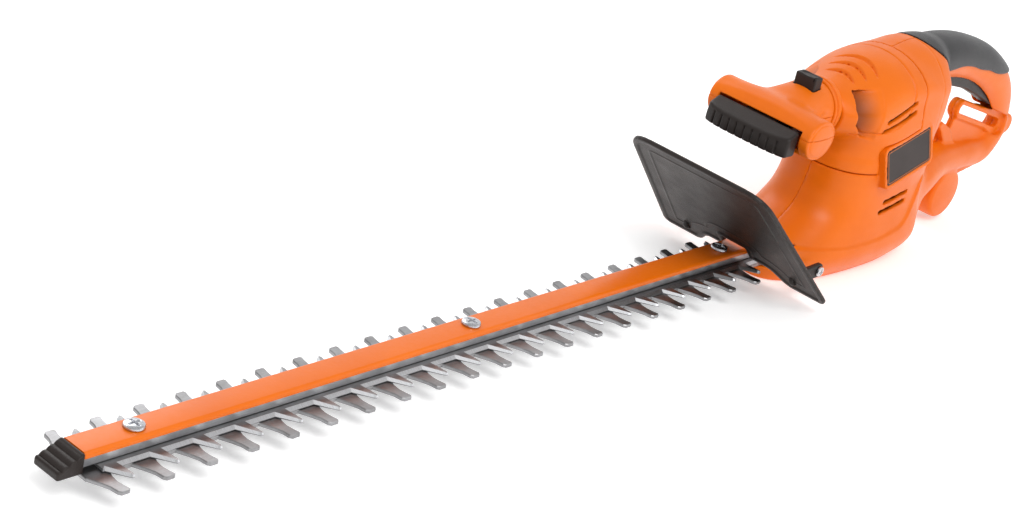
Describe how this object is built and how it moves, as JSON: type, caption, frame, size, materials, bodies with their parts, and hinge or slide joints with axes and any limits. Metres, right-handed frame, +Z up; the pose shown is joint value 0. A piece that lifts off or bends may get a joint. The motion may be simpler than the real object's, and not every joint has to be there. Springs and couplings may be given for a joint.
{
  "type": "hedge trimmer",
  "caption": "Corded electric hedge trimmer: toothed double-acting blades, hand guard, T-shaped front handle and D-shaped rear handle with a switch trigger.",
  "frame": {"origin": "on the flat underside of the base cover, straight below the axis of the drive gear", "axes": "+X from the blade tip towards the rear handle, +Z up, -Y the side with the badge"},
  "size_m": [0.8798, 0.1346, 0.1522],
  "materials": {
    "orange_plastic": "satin moulded shell with a fine spark-eroded texture",
    "orange_steel": "gloss powder coat on folded sheet",
    "black_plastic": "moulded, finely textured",
    "soft_grip": "overmoulded soft grip with a slight sheen",
    "blade_steel": "ground and brushed, bright bevels",
    "bar_aluminium": "drawn, polished sides",
    "zinc": "zinc plated",
    "copper": "enamelled copper winding",
    "brass": "plain",
    "cast_aluminium": "as cast",
    "core_steel": "laminated sheet",
    "carbon": "carbon brush"
  },
  "bodies": {
    "housing": {"motor_cap": "orange_plastic", "lower_housing_left": "orange_plastic", "lower_housing_right": "orange_plastic", "collar_ring": "orange_plastic", "front_handle_upper": "orange_plastic", "front_handle_lower": "orange_plastic", "cover_strip": "orange_steel", "nose": "black_plastic", "rear_switch": "black_plastic", "badge_plate": "black_plastic", "base_cover": "black_plastic", "power_inlet": "black_plastic", "front_switch": "black_plastic", "guard": "black_plastic", "bearing_plate": "black_plastic", "grip_cover": "soft_grip", "support_bar": "bar_aluminium", "blade_screw_1": "zinc", "blade_screw_2": "zinc", "blade_screw_3": "zinc", "blade_nut_1": "zinc", "blade_nut_2": "zinc", "blade_nut_3": "zinc", "gear_pin": "zinc", "lower_bearing": "zinc", "upper_bearing": "zinc", "trigger_pin": "zinc", "lever_pin": "zinc", "housing_screw_1": "zinc", "housing_screw_2": "zinc", "housing_screw_3": "zinc", "guard_screw_1": "zinc", "guard_screw_2": "zinc", "button_spring": "zinc", "field_winding_top": "copper", "field_winding_bottom": "copper", "brush_holder_left": "brass", "brush_holder_right": "brass", "inlet_prong_1": "brass", "inlet_prong_2": "brass", "gear_case": "cast_aluminium", "field_core": "core_steel", "brush_left": "carbon", "brush_right": "carbon"},
    "armature": {"armature_shaft": "zinc", "armature_core": "core_steel", "armature_winding": "copper", "commutator": "copper", "cooling_fan": "black_plastic"},
    "gear": {"drive_gear": "zinc"},
    "lower_blade": {"lower_blade": "blade_steel"},
    "upper_blade": {"upper_blade": "blade_steel"},
    "rear_trigger": {"rear_trigger": "black_plastic"},
    "front_lever": {"front_lever": "black_plastic"},
    "lock_button": {"lock_button": "black_plastic"}
  },
  "joints": [
    {"name": "armature_spin", "type": "hinge", "parent": "housing", "child": "armature", "pos_m": [0.039, 0, 0.06], "axis": [0, 0, 1], "continuous": true},
    {"name": "gear_spin", "type": "hinge", "parent": "housing", "child": "gear", "pos_m": [0, 0, 0.02], "axis": [0, 0, 1], "continuous": true},
    {"name": "lower_blade_slide", "type": "slide", "parent": "housing", "child": "lower_blade", "axis": [1, 0, 0], "range_m": [-0.007, 0.007]},
    {"name": "upper_blade_slide", "type": "slide", "parent": "housing", "child": "upper_blade", "axis": [1, 0, 0], "range_m": [-0.007, 0.007]},
    {"name": "trigger_squeeze", "type": "hinge", "parent": "housing", "child": "rear_trigger", "pos_m": [0.123, 0, 0.122], "axis": [0, -1, 0], "range_deg": [0, 4], "stiffness_Nm_per_rad": 2},
    {"name": "lever_squeeze", "type": "hinge", "parent": "housing", "child": "front_lever", "pos_m": [-0.088, 0, 0.1165], "axis": [0, -1, 0], "range_deg": [0, 8], "stiffness_Nm_per_rad": 1},
    {"name": "button_press", "type": "slide", "parent": "housing", "child": "lock_button", "axis": [0, 0, -1], "range_m": [0, 0.0035], "stiffness_N_per_m": 600, "deforming": ["button_spring"]}
  ],
  "couplings": [
    {"joint": "gear_spin", "follows": "armature_spin", "ratio": -0.3},
    {"joint": "upper_blade_slide", "follows": "lower_blade_slide", "ratio": -1}
  ]
}
